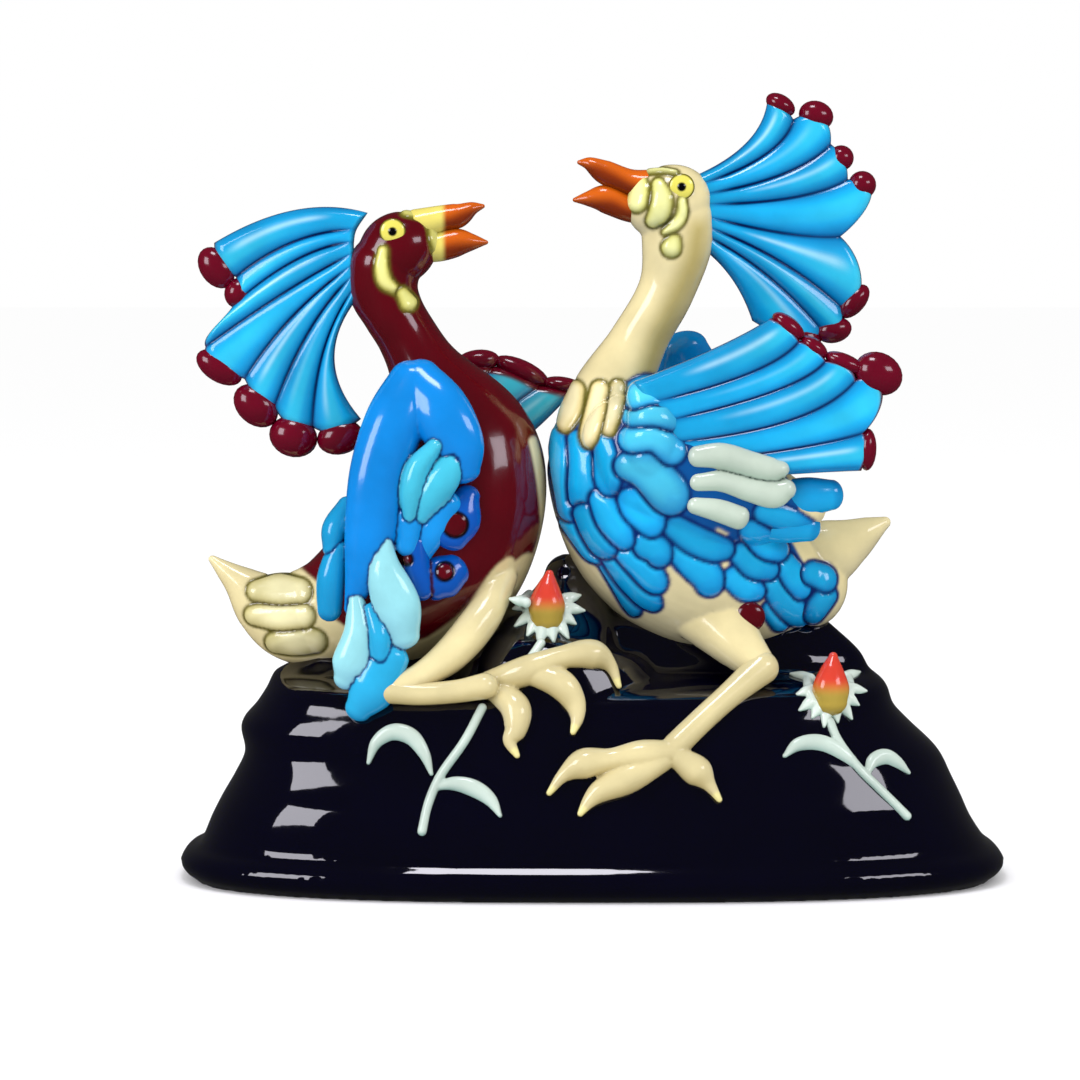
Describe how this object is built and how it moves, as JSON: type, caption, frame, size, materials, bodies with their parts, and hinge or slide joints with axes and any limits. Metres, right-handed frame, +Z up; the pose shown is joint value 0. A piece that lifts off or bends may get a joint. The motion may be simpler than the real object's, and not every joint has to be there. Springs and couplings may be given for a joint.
{
  "type": "ceramic bird figurine",
  "caption": "Glazed ceramic group: two crested birds facing each other on a hollow rocky base with raised flowers, for standing on a shelf.",
  "frame": {"origin": "on the surface it stands on, under the middle of the bounding box", "axes": "+X along the base towards the right bird's tail, +Y from the front (the side in the picture) to the back, +Z up"},
  "size_m": [0.304, 0.128, 0.2923],
  "materials": {
    "navy_glaze": "gloss near-black blue glaze",
    "cream_glaze": "gloss cream glaze with olive shading in the creases",
    "orange_glaze": "gloss orange-brown glaze",
    "blue_glaze": "gloss bright blue glaze, darker in the grooves",
    "turquoise_glaze": "gloss turquoise glaze, darker in the grooves",
    "pale_green_glaze": "gloss pale grey-green glaze",
    "yellow_glaze": "gloss yellow glaze with a painted black pupil",
    "maroon_glaze": "gloss maroon glaze",
    "red_glaze": "gloss red glaze that runs to olive yellow at the foot of the bud"
  },
  "bodies": {
    "root": {"base": "navy_glaze", "right_body": "cream_glaze", "right_tail": "cream_glaze", "right_upper_beak": "orange_glaze", "right_lower_beak": "orange_glaze", "right_crest": "blue_glaze", "right_near_eye": "yellow_glaze", "right_far_eye": "yellow_glaze", "right_near_wing": "turquoise_glaze", "right_primaries": "blue_glaze", "right_pale_feathers": "pale_green_glaze", "right_neck_feathers": "cream_glaze", "right_thigh_bead": "maroon_glaze", "right_far_wing": "blue_glaze", "right_far_feathers": "blue_glaze", "right_near_leg": "cream_glaze", "right_near_foot": "cream_glaze", "right_far_leg": "cream_glaze", "right_far_foot": "cream_glaze", "left_body": "maroon_glaze", "left_tail": "cream_glaze", "left_upper_beak": "orange_glaze", "left_lower_beak": "orange_glaze", "left_crest": "blue_glaze", "left_near_eye": "yellow_glaze", "left_far_eye": "yellow_glaze", "left_near_wing": "blue_glaze", "left_inner_feathers": "turquoise_glaze", "left_eye_feathers": "blue_glaze", "left_lower_feathers": "turquoise_glaze", "left_edge_feather": "turquoise_glaze", "left_far_wing": "turquoise_glaze", "left_near_leg": "cream_glaze", "left_near_foot": "cream_glaze", "left_far_leg": "cream_glaze", "left_far_foot": "cream_glaze", "right_flower_calyx": "pale_green_glaze", "right_flower_bud": "red_glaze", "right_flower_stem": "pale_green_glaze", "middle_flower_calyx": "pale_green_glaze", "middle_flower_bud": "red_glaze", "middle_flower_stem": "pale_green_glaze"}
  },
  "joints": []
}
